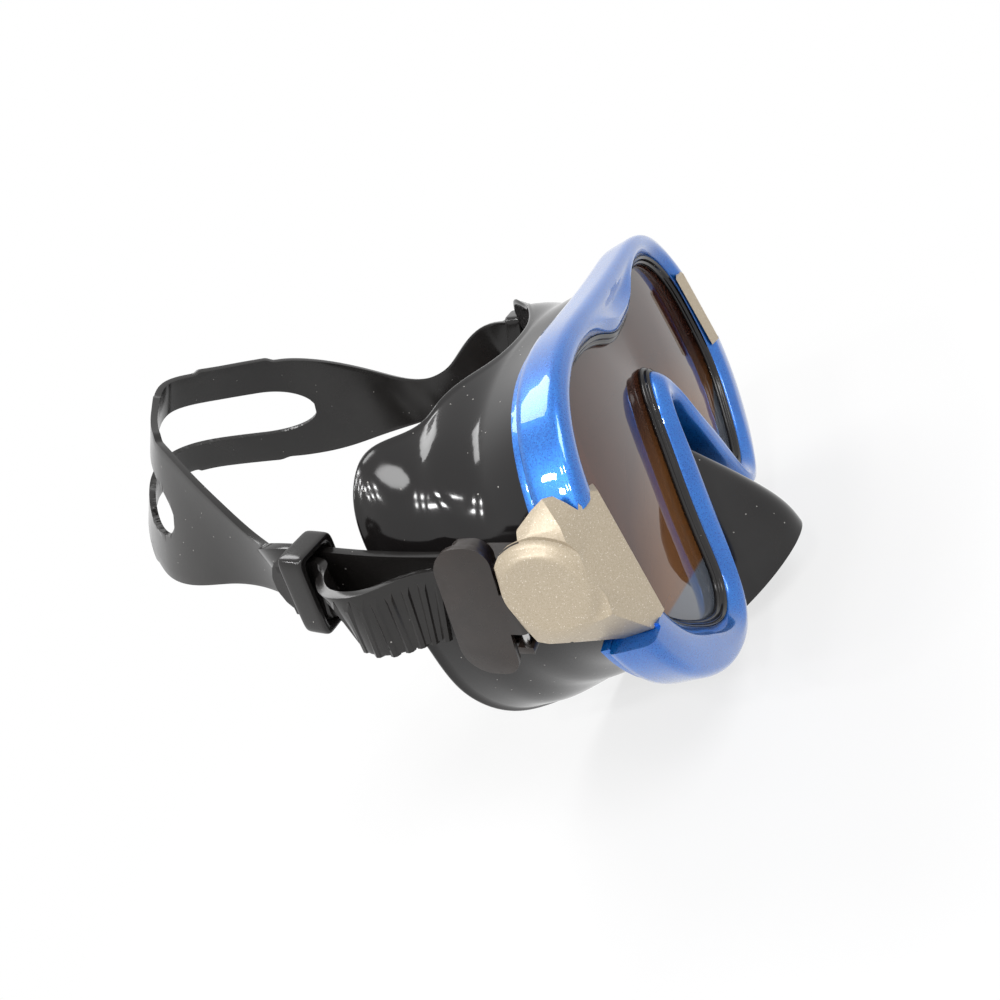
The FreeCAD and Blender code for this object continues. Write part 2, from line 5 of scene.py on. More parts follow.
import bmesh
import bpy
import numpy as np
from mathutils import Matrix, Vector


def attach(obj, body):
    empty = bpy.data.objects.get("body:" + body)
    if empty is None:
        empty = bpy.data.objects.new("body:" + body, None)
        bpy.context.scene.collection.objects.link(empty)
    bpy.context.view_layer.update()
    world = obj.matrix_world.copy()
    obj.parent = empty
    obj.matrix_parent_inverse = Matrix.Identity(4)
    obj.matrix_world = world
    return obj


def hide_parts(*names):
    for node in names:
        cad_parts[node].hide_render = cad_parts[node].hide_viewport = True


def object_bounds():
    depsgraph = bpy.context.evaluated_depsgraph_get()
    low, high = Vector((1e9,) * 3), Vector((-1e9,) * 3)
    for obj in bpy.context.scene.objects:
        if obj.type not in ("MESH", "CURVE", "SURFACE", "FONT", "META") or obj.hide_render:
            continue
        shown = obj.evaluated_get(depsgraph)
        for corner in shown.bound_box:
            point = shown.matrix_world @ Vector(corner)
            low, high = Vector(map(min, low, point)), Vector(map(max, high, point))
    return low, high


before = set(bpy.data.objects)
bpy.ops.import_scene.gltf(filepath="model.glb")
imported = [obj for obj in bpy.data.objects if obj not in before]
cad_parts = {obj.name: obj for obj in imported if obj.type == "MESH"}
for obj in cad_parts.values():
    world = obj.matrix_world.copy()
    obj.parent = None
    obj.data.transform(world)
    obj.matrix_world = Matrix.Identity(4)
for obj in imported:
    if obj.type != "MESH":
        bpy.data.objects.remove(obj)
cad_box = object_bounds()
MM = 0.001

# Half outlines (x, z), from the middle of the brow to the middle of the nose arch
FRAME_OUTLINE = [(0, 40.3), (24.5, 40.6), (42, 40.2), (61.3, 34), (75.5, 17.2), (80.7, -3.5), (76.2, -19),
                 (66.5, -31), (56, -38.8), (45, -43.8), (35.5, -45.3), (28.4, -43), (22.8, -36.2),
                 (17.9, -28), (13.2, -18.8), (8.5, -7.8), (4.5, 1), (0, 4)]
SIGHT_OUTLINE = [(0, 27.8), (8, 28.4), (17, 31.5), (33, 34.4), (53, 31.4), (66, 20.8), (69.6, 2.5),
                 (65.6, -14.8), (55, -27.2), (44.8, -35.2), (36, -38.1), (30.2, -35.8), (25, -26.6),
                 (20, -15), (13.2, -3), (7, 7.2), (0, 12.8)]
# Which points of the frame and of the skirt lie opposite which points of the sight opening
FRAME_MARKS = (0, 3, 4, 5, 6, 8, 9, 10, 11, 13, 14, 15, 16, 17)
FRAME_SIGHT = (0, 4, 5, 6, 7, 8, 9, 10, 11, 12, 13, 14, 15, 16)
SKIRT_MARKS = (0, 2, 3, 4, 5, 6, 7, 8, 9, 10)
SKIRT_SIGHT = (0, 3, 4, 5, 6, 7, 8, 10, 13, 16)
BEZEL_SPACING = 0.75                 # between points round the bezel
SKIRT_SPACING = 0.8                  # between points round the skirt

# Half outlines (x, z) of the rubber skirt at each depth y
SKIRT_SECTIONS = (
    (11.3, [(0, 33), (24, 34.8), (42, 34), (57, 28), (65.3, 14), (66.8, -4), (63.5, -18),
            (53, -30.5), (38, -42.5), (22, -53), (0, -56)]),
    (26, [(0, 37), (24, 36), (42, 32.5), (56, 25.5), (64.5, 13), (66.8, -3), (63.5, -19),
          (54, -32), (40, -45), (23, -56.5), (0, -59.5)]),
    (38, [(0, 43), (24, 42), (42, 37.5), (56, 31), (65, 15.5), (67.5, -2.5), (64.5, -19.5),
          (55.5, -34), (41, -47), (23, -57.5), (0, -60.5)]),
    (50, [(0, 47.5), (24, 47), (43, 44.5), (57.5, 39), (66.5, 21), (68.2, -1.5), (65.5, -20.5),
          (57, -36.5), (42, -49.3), (23, -58.5), (0, -61.3)]),
    (70, [(0, 47.5), (24, 47), (43, 44.5), (57.5, 39), (66.2, 21), (67.8, -2), (65, -22),
          (56.5, -38), (42, -50), (22, -58), (0, -61)]))
# Line of the face (y, z) on the middle plane, and how fast it falls back to the sides
FACE_LINE = [(30, 58), (29.5, 46), (27, 25), (25.5, 10), (27, -5), (31.5, -20), (37.5, -36),
             (43, -49), (44, -60), (42, -72)]
FACE_ROUNDING = 0.0067
# Nose pocket: (z, half width, y of its ridge) down to the tip, then the slope of its underside
NOSE_SECTIONS = ((-2, 1.6, 12.2), (-6.5, 4, 7), (-15, 6.5, 0.7), (-22, 9, -4), (-31, 12, -9.6),
                 (-39, 14.5, -13.2), (-46, 16.2, -14.4), (-62, 17.5, -14.4))
NOSE_TIP = (-14.4, -44.5)
NOSE_UNDER = math.tan(math.radians(27))
RUBBER_WALL = 1.6

# Where the bezel makes room for the covers
RECESS = (75.2, -9.2, 19.7)          # it is narrower here: x, lowest z, highest z
LAP_RECESS = (0.35, -8.35, 18.15)    # its face is lower here: y, lowest z, highest z
LAP_INNER = 49.6

BUCKLE_INNER = 70.0
PIVOT = (17.8, 4.0)                  # y, z
TILT = math.radians(20)
ROLLER_X, ROLLER_U = 74.0, 10.8      # u runs from the pivot along the buckle
STRAP_THICKNESS, STRAP_WIDTH, REAR_WIDTH = 2.0, 15.0, 43.2
TAB_WIDTH = 2.6                      # added to the band at the two tabs behind the head
SPLIT_WIDTH = 19.0
TAIL_ROUNDING = 5.5
STRAP_SIDE = [(71, 36.6, 10.8), (71.9, 49.8, 16.6), (72.9, 64.1, 24.4), (72.3, 73.4, 28.6)]
STRAP_BACK = [(62.4, 86.7, 24), (47, 118, 35), (37.3, 142.5, 49.3), (20, 158, 61.5), (0, 164.6, 68.3)]
TAIL_SIDE = [(77, 34.6, 10.12), (80.6, 41, 13.4), (84.2, 48.4, 15.6), (82.6, 55, 18.6), (76.8, 59.8, 21.6),
             (76.5, 64.1, 24.4), (76.2, 69, 26.6), (75.9, 73.4, 28.6)]
# Lean of the band in degrees at each share of its length
STRAP_LEAN = ((0, 0), (0.1, 0), (0.22, 12), (0.5, 50), (0.8, -8), (0.9, 0), (1, 0))


# Curves

def spline(points, closed=False):
    """Natural cubic through the points; returns the curve and each point's parameter."""
    p = np.array(points, float)
    wrap = 4 if closed else 0
    if closed:
        p = np.vstack([p[-wrap:], p, p[:wrap + 1]])
    t = np.concatenate([[0], np.cumsum(np.linalg.norm(np.diff(p, axis=0), axis=1))])
    t = t - t[wrap]
    h = np.diff(t)
    n = len(t)
    a = np.eye(n)
    b = np.zeros_like(p)
    for i in range(1, n - 1):
        a[i, i - 1:i + 2] = h[i - 1], 2 * (h[i - 1] + h[i]), h[i]
        b[i] = 6 * ((p[i + 1] - p[i]) / h[i] - (p[i] - p[i - 1]) / h[i - 1])
    m = np.linalg.solve(a, b)

    def at(s):
        s = np.atleast_1d(np.asarray(s, float))
        i = np.clip(np.searchsorted(t, s) - 1, 0, n - 2)
        u = (s - t[i])[:, None]
        v = (t[i + 1] - s)[:, None]
        w = h[i][:, None]
        near = (p[i] / w - m[i] * w / 6) * v
        far = (p[i + 1] / w - m[i + 1] * w / 6) * u
        return (m[i] * v ** 3 + m[i + 1] * u ** 3) / (6 * w) + near + far

    return at, t[wrap:n - wrap] if closed else t


def whole(half):
    return list(half) + [(-x, z) for x, z in half[-2:0:-1]]


def paired(half, marks, counts):
    """Points round the closed outline, with counts[i] of them from mark i to mark i + 1."""
    at, t = spline(whole(half), closed=True)
    stops = []
    for i, count in enumerate(counts):
        stops += list(np.linspace(t[marks[i]], t[marks[i + 1]], count, endpoint=False))
    side = at(stops + [t[marks[-1]]])
    back = side[-2:0:-1] * [-1, 1]
    return np.vstack([side, back])


def counts_for(half, marks, spacing):
    p = np.array(half, float)
    steps = np.linalg.norm(np.diff(p, axis=0), axis=1)
    return [max(2, int(round(steps[a:b].sum() / spacing))) for a, b in zip(marks, marks[1:])]


def smooth(x):
    x = np.clip(x, 0, 1)
    return x * x * (3 - 2 * x)


# Mesh helpers

def mesh_from(name, vertices, faces, scale=MM):
    mesh = bpy.data.meshes.new(name)
    mesh.from_pydata([tuple(float(c) * scale for c in v) for v in vertices], [], faces)
    bm = bmesh.new()
    bm.from_mesh(mesh)
    bmesh.ops.remove_doubles(bm, verts=bm.verts, dist=1e-6)
    bmesh.ops.recalc_face_normals(bm, faces=bm.faces)
    bm.to_mesh(mesh)
    bm.free()
    mesh.shade_smooth()
    piece = bpy.data.objects.new(name, mesh)
    bpy.context.collection.objects.link(piece)
    return piece


def grid_faces(rows, columns, close_rows, close_columns):
    faces = []
    for i in range(rows if close_rows else rows - 1):
        for j in range(columns if close_columns else columns - 1):
            i2, j2 = (i + 1) % rows, (j + 1) % columns
            faces.append((i * columns + j, i2 * columns + j, i2 * columns + j2, i * columns + j2))
    return faces


def ring(name, rows):
    """Closed sweep: each row is one loop of points round the piece, and the rows close on themselves."""
    rows = np.array(rows)
    return mesh_from(name, rows.reshape(-1, 3), grid_faces(rows.shape[0], rows.shape[1], True, True))


def loop3(xz, y):
    y = np.broadcast_to(y, len(xz))
    return np.column_stack([xz[:, 0], y, xz[:, 1]])


def apply_modifiers(piece):
    evaluated = piece.evaluated_get(bpy.context.evaluated_depsgraph_get())
    mesh = bpy.data.meshes.new_from_object(evaluated)
    piece.modifiers.clear()
    piece.data = mesh


def cut(piece, cutter):
    step = piece.modifiers.new("Cut", "BOOLEAN")
    step.operation = "DIFFERENCE"
    step.solver = "EXACT"
    step.object = cutter
    bpy.context.view_layer.update()
    apply_modifiers(piece)
    bpy.data.objects.remove(cutter)


def rounded(piece, width, segments=3, angle=35):
    bevel = piece.modifiers.new("Rounded", "BEVEL")
    bevel.width = width * MM
    bevel.segments = segments
    bevel.limit_method = "ANGLE"
    bevel.angle_limit = math.radians(angle)


def block(name, x, y, z):
    corners = [(a, b, c) for a in x for b in y for c in z]
    faces = [(0, 1, 3, 2), (4, 6, 7, 5), (0, 4, 5, 1), (2, 3, 7, 6), (0, 2, 6, 4), (1, 5, 7, 3)]
    return mesh_from(name, corners, faces)


def hull(name, points):
    mesh = bpy.data.meshes.new(name)
    bm = bmesh.new()
    for p in points:
        bm.verts.new([float(c) * MM for c in p])
    made = bmesh.ops.convex_hull(bm, input=bm.verts)
    spare = {v for v in made["geom_interior"] + made["geom_unused"] if isinstance(v, bmesh.types.BMVert)}
    bmesh.ops.delete(bm, geom=list(spare), context="VERTS")
    bmesh.ops.dissolve_limit(bm, angle_limit=math.radians(1.5), verts=bm.verts, edges=bm.edges)
    bmesh.ops.recalc_face_normals(bm, faces=bm.faces)
    bm.to_mesh(mesh)
    bm.free()
    piece = bpy.data.objects.new(name, mesh)
    bpy.context.collection.objects.link(piece)
    return piece


def mirrored(piece, name):
    """The finished shape's twin on the other side of the middle plane."""
    mesh = piece.data.copy()
    for v in mesh.vertices:
        v.co.x = -v.co.x
    mesh.flip_normals()
    twin = bpy.data.objects.new(name, mesh)
    bpy.context.collection.objects.link(twin)
    return twin


def finish_piece(piece, material, slot, body, *nodes):
    if material.name not in [m.name for m in piece.data.materials if m]:
        piece.data.materials.clear()
        piece.data.materials.append(material)
    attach(piece, body)
    if nodes:
        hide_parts(*nodes)


# Materials

class Paint:
    """A principled material whose colour, roughness and normal come from procedural nodes."""

    def __init__(self, name, **values):
        self.material = bpy.data.materials.new(name)
        self.material.use_nodes = True
        self.tree = self.material.node_tree
        self.shader = self.tree.nodes["Principled BSDF"]
        self.place = self.add("ShaderNodeTexCoord").outputs["Object"]
        for key, value in values.items():
            self.shader.inputs[key.replace("_", " ")].default_value = value

    def add(self, kind, **values):
        node = self.tree.nodes.new(kind)
        for key, value in values.items():
            if isinstance(value, bpy.types.NodeSocket):
                self.tree.links.new(value, node.inputs[key.replace("_", " ")])
            elif hasattr(node, key):
                setattr(node, key, value)
            else:
                node.inputs[key.replace("_", " ")].default_value = value
        return node

    def noise(self, scale, detail=3.0):
        return self.add("ShaderNodeTexNoise", Vector=self.place, Scale=scale, Detail=detail).outputs["Fac"]

    def specks(self, scale):
        return self.add("ShaderNodeTexVoronoi", Vector=self.place, Scale=scale)

    def curve(self, value, low, high, to_low=0.0, to_high=1.0):
        node = self.add("ShaderNodeMapRange", Value=value)
        for key, number in (("From Min", low), ("From Max", high), ("To Min", to_low), ("To Max", to_high)):
            node.inputs[key].default_value = number
        return node.outputs["Result"]

    def mix(self, factor, a, b):
        node = self.tree.nodes.new("ShaderNodeMix")
        node.data_type = "RGBA"
        self.link(factor, node.inputs[0])
        self.link(a, node.inputs[6])
        self.link(b, node.inputs[7])
        return node.outputs[2]

    def maths(self, operation, a, b=0.0):
        node = self.tree.nodes.new("ShaderNodeMath")
        node.operation = operation
        self.link(a, node.inputs[0])
        self.link(b, node.inputs[1])
        return node.outputs[0]

    def link(self, value, socket):
        if isinstance(value, bpy.types.NodeSocket):
            self.tree.links.new(value, socket)
        elif isinstance(value, tuple) and len(value) == 3:
            socket.default_value = (*value, 1)
        else:
            socket.default_value = value

    def set(self, **sockets):
        for key, value in sockets.items():
            self.link(value, self.shader.inputs[key.replace("_", " ")])

    def bump(self, height, distance, strength=1.0):
        node = self.add("ShaderNodeBump", Height=height, Distance=distance, Strength=strength)
        self.set(Normal=node.outputs["Normal"])


def blue_paint():
    p = Paint("Blue flake lacquer", Metallic=0.55, Roughness=0.3, Coat_Weight=1.0, Coat_Roughness=0.03)
    flakes = p.specks(5200)
    grain = p.curve(p.add("ShaderNodeSeparateColor", Color=flakes.outputs["Color"]).outputs[0], 0, 1, 0, 0.5)
    depth = p.curve(p.noise(60), 0.35, 0.65, 0, 0.35)
    colour = p.mix(grain, (0.0, 0.10, 0.48), (0.015, 0.29, 0.80))
    p.set(Base_Color=p.mix(depth, colour, (0.0, 0.07, 0.35)), Roughness=p.curve(grain, 0, 0.5, 0.26, 0.4))
    p.bump(p.noise(900, 2), 0.00001, 0.3)
    return p.material


def glass_paint():
    p = Paint("Brown tinted glass", Roughness=0.02, IOR=1.5, Coat_Weight=0.6, Coat_Roughness=0.01)
    axes = p.add("ShaderNodeSeparateXYZ", Vector=p.place)
    across = p.maths("ABSOLUTE", axes.outputs["X"])
    # Painted light over the brown tint: an orange painted glow low on the lens towards the nose, lower down
    # with a little noise
    slope = p.maths("ADD", p.maths("MULTIPLY", axes.outputs["Z"], -1.0), p.maths("MULTIPLY", across, -0.35))
    wave = p.maths("MULTIPLY", p.noise(24, 2), 0.012)
    glow_share = p.curve(p.maths("ADD", slope, wave), -0.012, 0.006)
    # Painted reflection: grey-blue over the lowest parts of the lens, with a sharp edge
    corner = p.curve(p.maths("ADD", p.maths("MULTIPLY", axes.outputs["Z"], -1.0),
                             p.maths("MULTIPLY", across, 0.3)), 0.036, 0.0368)
    brown = p.mix(p.noise(45, 4), (0.05, 0.016, 0.011), (0.14, 0.055, 0.035))
    tint_and_glow = p.mix(glow_share, brown, (0.30, 0.12, 0.035))
    p.set(Base_Color=p.mix(corner, tint_and_glow, (0.22, 0.25, 0.30)))
    dust = p.curve(p.specks(900).outputs["Distance"], 0.0, 0.12, 0.3, 0.02)
    p.set(Roughness=dust)
    clear = p.add("ShaderNodeBsdfTransparent")
    clear.inputs["Color"].default_value = (0.34, 0.18, 0.12, 1)
    both = p.add("ShaderNodeMixShader")
    both.inputs["Fac"].default_value = 0.62
    p.tree.links.new(clear.outputs[0], both.inputs[1])
    p.tree.links.new(p.shader.outputs[0], both.inputs[2])
    p.tree.links.new(both.outputs[0], p.tree.nodes["Material Output"].inputs["Surface"])
    return p.material


def rubber_paint(name, tone, low, high, dust_scale, dust_size):
    p = Paint(name, IOR=1.45)
    cells = p.specks(dust_scale)
    picked = p.curve(p.add("ShaderNodeSeparateColor", Color=cells.outputs["Color"]).outputs[1], 0.9, 0.92)
    near = p.curve(cells.outputs["Distance"], dust_size * 0.6, dust_size, 1.0, 0.0)
    dust = p.maths("MULTIPLY", picked, near)
    film = p.curve(p.noise(18, 5), 0.5, 0.75, 0.0, 0.05)
    base = p.mix(film, tone, (0.3, 0.29, 0.28))
    p.set(Base_Color=p.mix(p.maths("MULTIPLY", dust, 0.7), base, (0.5, 0.48, 0.45)))
    sheen = p.curve(p.noise(70, 3), 0.3, 0.7, low, high)
    p.set(Roughness=p.maths("ADD", sheen, p.maths("MULTIPLY", dust, 0.4)))
    p.bump(p.noise(350, 3), 0.00002, 0.25)
    return p.material


def silver_paint():
    p = Paint("Satin silver beige", Metallic=0.3, Roughness=0.42, Coat_Weight=0.15, Coat_Roughness=0.25)
    cells = p.add("ShaderNodeSeparateColor", Color=p.specks(7000).outputs["Color"])
    flake = p.curve(cells.outputs[0], 0.0, 1.0)
    tone = p.mix(flake, (0.42, 0.345, 0.245), (0.52, 0.445, 0.335))
    glint = p.curve(cells.outputs[1], 0.97, 0.99)
    p.set(Base_Color=p.mix(glint, tone, (0.78, 0.72, 0.62)))
    p.set(Roughness=p.curve(cells.outputs[2], 0, 1, 0.34, 0.5))
    p.bump(p.noise(2600, 2), 0.00002, 0.35)
    return p.material


def plastic_paint():
    p = Paint("Brown black plastic", Coat_Weight=0.2, Coat_Roughness=0.2)
    p.set(Base_Color=p.mix(p.noise(120, 4), (0.008, 0.006, 0.005), (0.028, 0.018, 0.014)))
    p.set(Roughness=p.curve(p.noise(500, 4), 0.3, 0.7, 0.24, 0.42))
    p.bump(p.noise(1600, 3), 0.00002, 0.3)
    return p.material


def steel_paint():
    p = Paint("Polished steel", Metallic=1.0)
    p.set(Base_Color=p.mix(p.noise(300, 3), (0.42, 0.42, 0.42), (0.62, 0.61, 0.6)))
    p.set(Roughness=p.curve(p.noise(900, 4), 0.3, 0.7, 0.14, 0.3))
    p.bump(p.noise(2500, 2), 0.00001, 0.3)
    return p.material


BLUE = blue_paint()
GLASS = glass_paint()
SKIRT_BLACK = rubber_paint("Gloss black silicone", (0.009, 0.008, 0.008), 0.07, 0.16, 700, 0.16)
STRAP_BLACK = rubber_paint("Satin black silicone", (0.011, 0.010, 0.0095), 0.12, 0.24, 600, 0.12)
SILVER = silver_paint()
PLASTIC = plastic_paint()
STEEL = steel_paint()


# Blue bezel

def make_bezel():
    """Frame swept between two outlines: rim, lip, rounded front with a scoop over the brow, side wall."""
    counts = counts_for(FRAME_OUTLINE, FRAME_MARKS, BEZEL_SPACING)
    outer = paired(FRAME_OUTLINE, FRAME_MARKS, counts)
    sight = paired(SIGHT_OUTLINE, FRAME_SIGHT, counts)
    reach = outer - sight
    width = np.linalg.norm(reach, axis=1)[:, None]
    way = reach / width
    brow = np.exp(-(sight[:, 0] / 15.0) ** 2) * (sight[:, 1] > 20)
    crest_start, crest_y = 3.0, -0.72
    crown, crown_depth = 2.1, 2.4
    rows = []

    def from_sight(d, y):
        rows.append(loop3(sight + way * d, y))

    def from_outer(d, y):
        rows.append(loop3(outer - way * d, y))

    from_sight(4.2, 8.9)
    from_sight(4.2, 3.0)
    from_sight(0.1, 3.0)
    from_sight(0.0, 1.75)
    for d, y in ((0.25, 1.35), (0.8, 0.75), (1.5, 0.15), (2.3, -0.4), (crest_start, crest_y)):
        from_sight(d, y)
    start, end = sight + way * crest_start, outer - way * crown
    for share in (0.12, 0.25, 0.4, 0.55, 0.7, 0.85, 1.0):
        swell = 0.28 * math.sin(math.pi * share)
        scoop = 2.1 * brow * math.sin(math.pi * min(share * 1.15, 1.0)) ** 1.5
        rows.append(loop3(start + (end - start) * share, crest_y - swell + scoop))
    for turn in (18, 36, 54, 72, 90):
        a = math.radians(turn)
        from_outer(crown * (1 - math.sin(a)), crest_y + crown_depth * (1 - math.cos(a)))
    for y, d in ((3.4, 0.0), (5.4, 0.0), (7.4, 0.0), (8.5, 0.15), (8.95, 0.6)):
        from_outer(d, y)
    piece = ring("blue_bezel", rows)
    for side in (-1, 1):
        cut(piece, block("side_room", (side * RECESS[0], side * 100), (-20, 40), RECESS[1:]))
        cut(piece, block("lap_room", (side * LAP_INNER, side * 100), (-20, LAP_RECESS[0]), LAP_RECESS[1:]))
    piece.data.shade_smooth()
    piece.data.set_sharp_from_angle(angle=math.radians(38))
    finish_piece(piece, BLUE, "blue_frame", "mask", "front_bezel")


# Rubber skirt

def make_skirt():
    """Gasket round the lens, body, rolled edge, flap turned in to the face and inner wall, in one ring."""
    counts = counts_for(SKIRT_SECTIONS[0][1], SKIRT_MARKS, SKIRT_SPACING)
    sight = paired(SIGHT_OUTLINE, SKIRT_SIGHT, counts)
    levels = [y for y, _ in SKIRT_SECTIONS]
    outlines = np.array([paired(half, SKIRT_MARKS, counts) for _, half in SKIRT_SECTIONS])
    n = len(sight)

    def skirt_at(y):
        """Outline at the depth y, which may differ round the ring."""
        y = np.broadcast_to(np.asarray(y, float), n)
        result = np.zeros((n, 2))
        for k, (y0, y1) in enumerate(zip(levels, levels[1:])):
            share = smooth((y - y0) / (y1 - y0)) if k else np.clip((y - y0) / (y1 - y0), 0, 1)
            part = (y >= y0) & ((y < y1) | (k == len(levels) - 2))
            result[part] = (outlines[k] + (outlines[k + 1] - outlines[k]) * share[:, None])[part]
        return result

    face, heights = spline([(z, y) for y, z in FACE_LINE])
    table = face(np.linspace(0, heights[-1], 400))[::-1]

    def face_depth(xz):
        return np.interp(xz[:, 1], table[:, 0], table[:, 1]) + FACE_ROUNDING * xz[:, 0] ** 2

    def normals(points):
        along = np.roll(points, -1, axis=0) - np.roll(points, 1, axis=0)
        side = np.column_stack([-along[:, 1], along[:, 0]])
        side /= np.linalg.norm(side, axis=1)[:, None]
        return side * np.sign(np.sum(side * (points - [0, -10]), axis=1))[:, None]

    def soften(points, rounds):
        for _ in range(rounds):
            points = (points + 0.5 * (np.roll(points, 1, axis=0) + np.roll(points, -1, axis=0))) / 2
        return points

    along = np.roll(sight, -1, axis=0) - np.roll(sight, 1, axis=0)
    way = np.column_stack([-along[:, 1], along[:, 0]])
    way /= np.linalg.norm(way, axis=1)[:, None]
    top = int(np.argmax(np.where(abs(sight[:, 0]) < 1, sight[:, 1], -99)))
    if way[top, 1] < 0:
        way = -way

    end = np.full(n, 45.0)
    for _ in range(12):
        end = 0.5 * end + 0.5 * face_depth(skirt_at(end))
    rows = []

    def from_sight(d, y):
        rows.append(loop3(sight + way * d, y))

    for d, y in ((2.2, 4.36), (-1.9, 4.36), (-2.0, 3.9), (-1.9, 3.45), (-1.45, 3.3), (-1.2, 3.25),
                 (-1.1, 3.1), (-1.1, 2.5), (-0.95, 2.2), (-0.55, 2.1), (-0.4, 2.0), (-0.3, 1.9),
                 (-0.12, 2.0), (-0.1, 3.1), (4.0, 3.1), (4.0, 8.7), (0.0, 8.9), (0.0, 11.35)):
        from_sight(d, y)
    front = skirt_at(11.4)
    for share in (0.2, 0.4, 0.6, 0.8, 0.93):
        rows.append(loop3(sight + (front - sight) * share, 11.35))
    rows.append(loop3(skirt_at(12.2), 12.0))
    steps = 22
    for i in range(1, steps + 1):
        y = 12.6 + (end - 1.6 - 12.6) * i / steps
        rows.append(loop3(skirt_at(y), y))
    edge = skirt_at(end - 1.2)
    out = normals(soften(edge, 40))
    for d, back in ((0.35, 1.2), (0.45, 0.75), (0.2, 0.3), (-0.4, 0.05), (-1.2, 0.0)):
        rows.append(loop3(edge + out * d, end - back))
    for d in (-3, -5, -7, -9):
        inward = edge + out * d
        rows.append(loop3(inward, np.minimum(face_depth(inward), end) - 0.1))
    tip = edge + out * -9.6
    rows.append(loop3(tip, np.minimum(face_depth(tip), end) - 0.6))
    for d in (-9, -7, -5, -3.4, -2.6):
        inward = edge + out * d
        thickness = 1.2 + 0.35 * (9 + d) / 6
        rows.append(loop3(inward, np.minimum(face_depth(inward), end) - thickness))
    for i in range(steps, 0, -2):
        y = 14.5 + (end - 4.5 - 14.5) * i / steps
        outline = skirt_at(y)
        rows.append(loop3(outline - normals(outline) * 2, y))
    inner = skirt_at(13.5)
    inner = inner - normals(inner) * 2.0
    bore = sight - way * 1.8
    for share in (1.0, 0.8, 0.6, 0.4, 0.2, 0.0):
        rows.append(loop3(bore + (inner - bore) * share, 13.4))
    for d, y in ((-1.8, 8.0), (2.2, 7.95)):
        from_sight(d, y)
    piece = ring("rubber_skirt", rows)
    cut(piece, nose_pocket("pocket_room", RUBBER_WALL, 20.0, closed=True))
    finish_piece(piece, SKIRT_BLACK, "black_silicone", "mask", "skirt")


def nose_pocket(name, wall, rear, closed):
    """The pocket's wall from its ridge to its sloping underside, open at the rear unless closed."""
    data = np.array(NOSE_SECTIONS, float)
    at, t = spline(data)
    fine = at(np.linspace(0, t[-1], 300))[::-1]
    across = np.linspace(-1, 1, 49)
    shape, marks = spline([(-1, 1), (-0.84, 0.52), (-0.45, 0.12), (0, 0), (0.45, 0.12), (0.84, 0.52), (1, 1)])
    curve = shape(np.linspace(0, marks[-1], len(across)))

    def section(z):
        w = np.interp(z, fine[:, 0], fine[:, 1]) - wall
        f = np.interp(z, fine[:, 0], fine[:, 2]) + wall
        w = np.maximum(w, 0.3)
        f = np.minimum(f, rear - 0.5)
        return w * curve[:, 0], f + (rear - f) * curve[:, 1]

    def under(y):
        return NOSE_TIP[1] + wall * 1.2 - NOSE_UNDER * (y - NOSE_TIP[0])

    z_top = -2.0 - wall
    rows = []
    levels = 44
    bottom = np.full(len(across), -50.0)
    for _ in range(12):
        bottom = under(section(bottom)[1])
    for j in range(levels + 1):
        z = z_top + (bottom - z_top) * j / levels
        x, y = section(z)
        rows.append(np.column_stack([x, y, z]))
    vertices = [tuple(p) for row in rows for p in row]
    faces = grid_faces(levels + 1, len(across), False, False)
    last = levels * len(across)
    half = len(across) // 2
    inner_columns = 13
    rim = rows[-1]
    lines = []
    for i in range(half):
        a, b = last + i, last + len(across) - 1 - i
        line = [a]
        for k in range(1, inner_columns):
            share = k / inner_columns
            left, right = rim[i], rim[len(across) - 1 - i]
            point = left + (right - left) * share
            point = np.array([point[0], point[1], under(point[1])])
            line.append(len(vertices))
            vertices.append(tuple(point))
        line.append(b)
        lines.append(line)
    for first, second in zip(lines, lines[1:]):
        for k in range(inner_columns):
            faces.append((first[k], first[k + 1], second[k + 1], second[k]))
    nose = last + half
    final = lines[-1]
    faces.append(tuple(final) + (nose,))
    piece = mesh_from(name, vertices, faces)
    if closed:
        bm = bmesh.new()
        bm.from_mesh(piece.data)
        bmesh.ops.holes_fill(bm, edges=[e for e in bm.edges if e.is_boundary], sides=0)
        bmesh.ops.recalc_face_normals(bm, faces=bm.faces)
        bm.to_mesh(piece.data)
        bm.free()
    return piece


def make_nose():
    piece = nose_pocket("nose_pocket", 0.0, 12.4, closed=False)
    rounded(piece, 3.0, 5, 30)
    apply_modifiers(piece)
    shell = piece.modifiers.new("Wall", "SOLIDIFY")
    shell.thickness = RUBBER_WALL * MM
    shell.offset = -1
    bpy.context.view_layer.update()
    apply_modifiers(piece)
    piece.data.shade_smooth()
    finish_piece(piece, SKIRT_BLACK, "black_silicone", "mask")


# Strap

def buckle_point(x, u):
    return np.array([x, PIVOT[0] + u * math.cos(TILT), PIVOT[1] + u * math.sin(TILT)])


def lean_at(s):
    for (s0, lean0), (s1, lean1) in zip(STRAP_LEAN, STRAP_LEAN[1:]):
        if s <= s1:
            return lean0 + (lean1 - lean0) * float(smooth((s - s0) / (s1 - s0)))
    return 0.0


def upright(along, lean=0.0):
    up = np.array([0, 0, 1.0]) - along * along[2]
    up /= np.linalg.norm(up)
    side = np.cross(along, up)
    angle = math.radians(lean)
    return up * math.cos(angle) + side * math.sin(angle)


def main_line(count):
    line = STRAP_SIDE + STRAP_BACK
    right = [(-x, y, z) for x, y, z in line]
    at, t = spline(right + line[-2::-1])
    fine = at(np.linspace(0, t[-1], 3000))
    run = np.concatenate([[0], np.cumsum(np.linalg.norm(np.diff(fine, axis=0), axis=1))])
    s = np.linspace(0, 1, count)
    points = np.column_stack([np.interp(s * run[-1], run, fine[:, k]) for k in range(3)])
    return s, points


